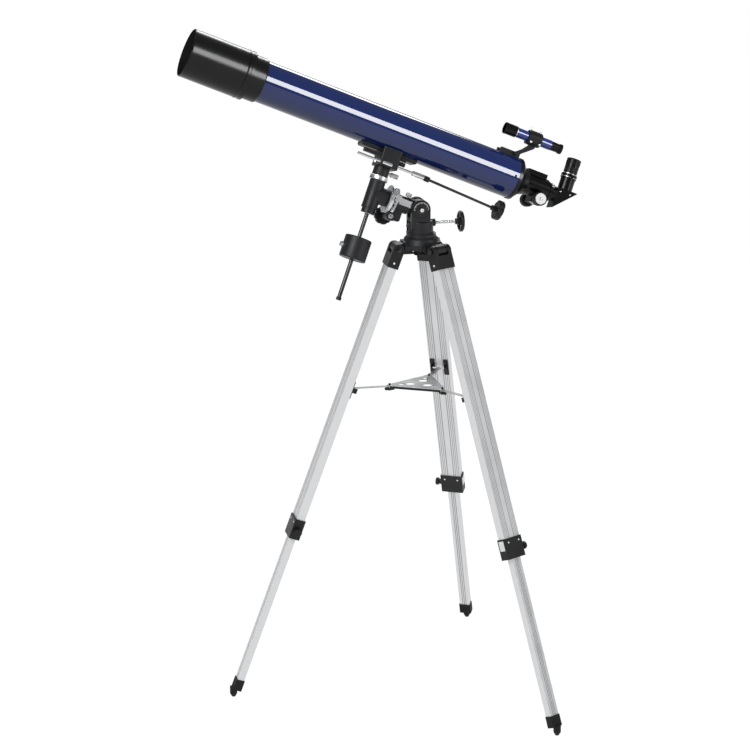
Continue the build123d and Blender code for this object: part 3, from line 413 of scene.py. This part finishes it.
eye = HEAD @ move(455, 0, 0)
piece("eyepiece_stop_ring", lathe([(212.2, 16.4), (212.2, 17.5), (213.6, 17.5), (213.6, 16.4)], 96), eye,
      TURNED, "ocular")
piece("holder_ring", lathe([(203.6, 19.2), (203.6, 20.0), (204.6, 20.0), (204.6, 19.2)], 96), eye, TURNED,
      "mirror_unit")
cup = [(247.5, 16.6), (247.5, 17.7), (249.4, 17.9), (251.4, 16.6), (252.0, 14.6), (250.6, 12.6),
       (250.0, 12.6), (249.9, 15.2)]
piece("eye_cup", lathe(cup, 96), eye, RUBBER, "ocular")
ribs = [(place, (0.7, 1.2, 9.5)) for place in ring_of(40, "Z", spun(17.2, 0, 240.6))]
piece("eyepiece_ribs", bars(ribs), eye, RUBBER, "ocular", 0.15)
plate_screws = [spun(x, -19.0, 163) @ Z_TO_MINUS_Y for x in (440, 466)]
piece("diagonal_screws", dome(1.9, 0.6, plate_screws), HEAD, CHROME, "mirror_unit")

# ---------------------------------------------------------------- finder details
finder = HEAD @ move(0, 0, 262)
hoop = [(261, 13.9), (261, 14.5), (263.5, 14.5), (263.5, 13.9)]
piece("finder_front_hoop", lathe(hoop), finder @ Z_TO_X, SATIN, "finder")
piece("finder_bright_ring", lathe([(289.6, 12.3), (289.6, 13.95), (291.0, 13.7), (291.0, 12.3)]),
      finder @ Z_TO_X, TURNED, "finder")
knurls = [(place, (6.5, 0.9, 0.7)) for place in ring_of(36, "X", spun(410, 0, 12.0))]
piece("finder_eye_knurls", bars(knurls), finder, SATIN, "finder", 0.1)

# ---------------------------------------------------------------- mount details
rod_cap = [(-267.0, 0.3), (-267.0, 5.2), (-266.0, 6.4), (-260.2, 6.4), (-258.8, 5.1), (-258.8, 5.02),
           (-266, 0.3)]
piece("rod_end_cap", lathe(rod_cap, 48), HEAD, PLASTIC, "telescope")
nut = [(-49.6, 8.4), (-49.6, 13.6), (-50.6, 13.0), (-50.6, 8.4)]
piece("shaft_nut", lathe(nut, 6), HEAD, CHROME, "dec_head", 0.3)
knurls = [(place, (10, 0.8, 0.6)) for place in ring_of(24, "X", spun(21.5, 0, 6.4))]
piece("control_ferrule_knurls", bars(knurls), CONTROL, PLASTIC, "slow_motion", 0.1)
ferrule = [(15.2, 6.35), (15.2, 6.6), (16.2, 6.6), (16.2, 6.35)]
piece("control_ferrule_hoops", lathe(ferrule, 48, (WHOLE, spun(0, 0, 11.4))), CONTROL @ Z_TO_X, PLASTIC,
      "slow_motion")
boss = [(224.3, 0.3), (224.3, 9.5), (225.3, 8.8), (225.3, 0.3)]
piece("control_knob_boss", lathe(boss, 48), CONTROL @ Z_TO_X, PLASTIC, "slow_motion")
seat_bolts = [spun(x, y, 97) for x, y in ((-13, -27), (-13, 27), (21, 27))]
piece("saddle_screws", dome(3.3, 1.61, seat_bolts), HEAD, CHROME, "telescope")
webs = [(place, (9, 4.5, 18)) for place in ring_of(6, "Z", spun(33.5, 0, 1129))]
piece("hub_webs", bars(webs), TRIPOD, CAST, "tripod", 1.0)
skirt = [(1146.5, 31.4), (1146.5, 33.0), (1149.5, 33.0), (1150.6, 31.9), (1150.6, 31.4)]
piece("base_skirt", lathe(skirt, 96), move(AXIS_X - 3, 0, 0), CAST, "azimuth_base")
collar = [(59.0, 19.8), (59.0, 20.8), (62.5, 20.8), (63.5, 19.8)]
piece("housing_collar", lathe(collar), POLAR @ Z_TO_X, CAST, "polar_head")
belt = [(-36.8, 18.6), (-36.8, 19.7), (-33.0, 19.7), (-32.2, 18.6)]
piece("declination_housing_belt", lathe(belt), HEAD, CAST, "dec_head")

# ---------------------------------------------------------------- floor, light and camera, in metres
FLOOR_HALF = 40
floor_mat = bpy.data.materials.new("studio floor")
floor_mat.use_nodes = True
tree = floor_mat.node_tree
tree.nodes.clear()
output = tree.nodes.new("ShaderNodeOutputMaterial")
glow = tree.nodes.new("ShaderNodeEmission")
glow.inputs["Strength"].default_value = 1.0
matte = tree.nodes.new("ShaderNodeBsdfDiffuse")
matte.inputs["Color"].default_value = (0.05, 0.05, 0.05, 1)
both = tree.nodes.new("ShaderNodeAddShader")
tree.links.new(glow.outputs["Emission"], both.inputs[0])
tree.links.new(matte.outputs["BSDF"], both.inputs[1])
tree.links.new(both.outputs["Shader"], output.inputs["Surface"])
floor = from_lists("floor", [(x * FLOOR_HALF, y * FLOOR_HALF, 0) for x, y in ((-1, -1), (1, -1), (1, 1), (-1, 1))],
                   [(0, 1, 2, 3)])
floor.materials.append(floor_mat)
floor_object = bpy.data.objects.new("floor", floor)
bpy.context.collection.objects.link(floor_object)

world = bpy.data.worlds.new("studio")
bpy.context.scene.world = world
world.use_nodes = True
nodes, links = world.node_tree.nodes, world.node_tree.links
soft_grey = nodes["Background"]             # what lights the object
soft_grey.inputs["Color"].default_value = (0.80, 0.82, 0.85, 1)
soft_grey.inputs["Strength"].default_value = 0.35
backdrop = nodes.new("ShaderNodeBackground")            # plain white past the floor
backdrop.inputs["Color"].default_value = (1, 1, 1, 1)
ray = nodes.new("ShaderNodeLightPath")
choice = nodes.new("ShaderNodeMixShader")
links.new(ray.outputs["Is Camera Ray"], choice.inputs["Fac"])
links.new(soft_grey.outputs[0], choice.inputs[1])
links.new(backdrop.outputs[0], choice.inputs[2])
links.new(choice.outputs[0], nodes["World Output"].inputs["Surface"])

camera_data = bpy.data.cameras.new("camera")
camera_data.lens = 112.25
camera_data.sensor_width = 36
camera = bpy.data.objects.new("camera", camera_data)
bpy.context.collection.objects.link(camera)
bpy.context.scene.camera = camera
camera.location = (-1.3453 + AXIS_X * MM, -5.3364, 2.2367)
heading, down = radians(13.0), radians(14.7)
look = Vector((sin(heading) * cos(down), cos(heading) * cos(down), -sin(down)))
camera.rotation_euler = look.to_track_quat("-Z", "Y").to_euler()


def softbox(name, target, direction, distance, wide, tall, power, along=(1, 0, 0)):
    """A rectangular lamp that faces a point from a direction, its width as near `along` as it can be."""
    data = bpy.data.lights.new(name, "AREA")
    data.shape = "RECTANGLE"
    data.size, data.size_y = wide, tall
    data.energy = power
    lamp = bpy.data.objects.new(name, data)
    bpy.context.collection.objects.link(lamp)
    back = Vector(direction).normalized()
    x_axis = Vector(along)
    x_axis = (x_axis - back * x_axis.dot(back)).normalized()
    y_axis = back.cross(x_axis)
    lamp.matrix_world = Matrix.Translation(Vector(target) + back * distance) @ Matrix(
        (x_axis, y_axis, back)).transposed().to_4x4()
    return lamp


tube_axis = (HEAD.to_3x3() @ Vector((1, 0, 0))).normalized()
tube_middle = HEAD @ Vector((-0.05, 0, TUBE_Z * MM))
to_camera = (camera.location - tube_middle).normalized()
facing = (to_camera - tube_axis * to_camera.dot(tube_axis)).normalized()
upward = tube_axis.cross(facing)
upward = upward if upward.z > 0 else -upward
# the strip stands where the photograph's long highlight asks for it: 13 degrees up round the tube
normal = facing * cos(radians(13)) + upward * sin(radians(13))
mirrored = normal * 2 * normal.dot(to_camera) - to_camera
strip = softbox("strip over the tube", tube_middle, mirrored, 3.2, 5.5, 1.35, 440, tube_axis)
lit = bpy.data.collections.new("under the strip")
for name in ("main_tube", "finder_tube", "dew_shield", "objective_cell", "rear_cell"):
    lit.objects.link(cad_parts[name])
strip.light_linking.receiver_collection = lit
softbox("key", (0, 0, 1.0), (-0.75, -0.8, 0.75), 4.2, 1.8, 1.8, 120)
softbox("fill", (0, 0, 0.9), (0.9, -0.7, 0.35), 4.5, 1.4, 2.4, 50)
softbox("back light", (0, 0, 1.2), (0.3, 1.0, 0.7), 4.0, 2.4, 1.2, 80)

bpy.context.scene.view_settings.view_transform = "Standard"
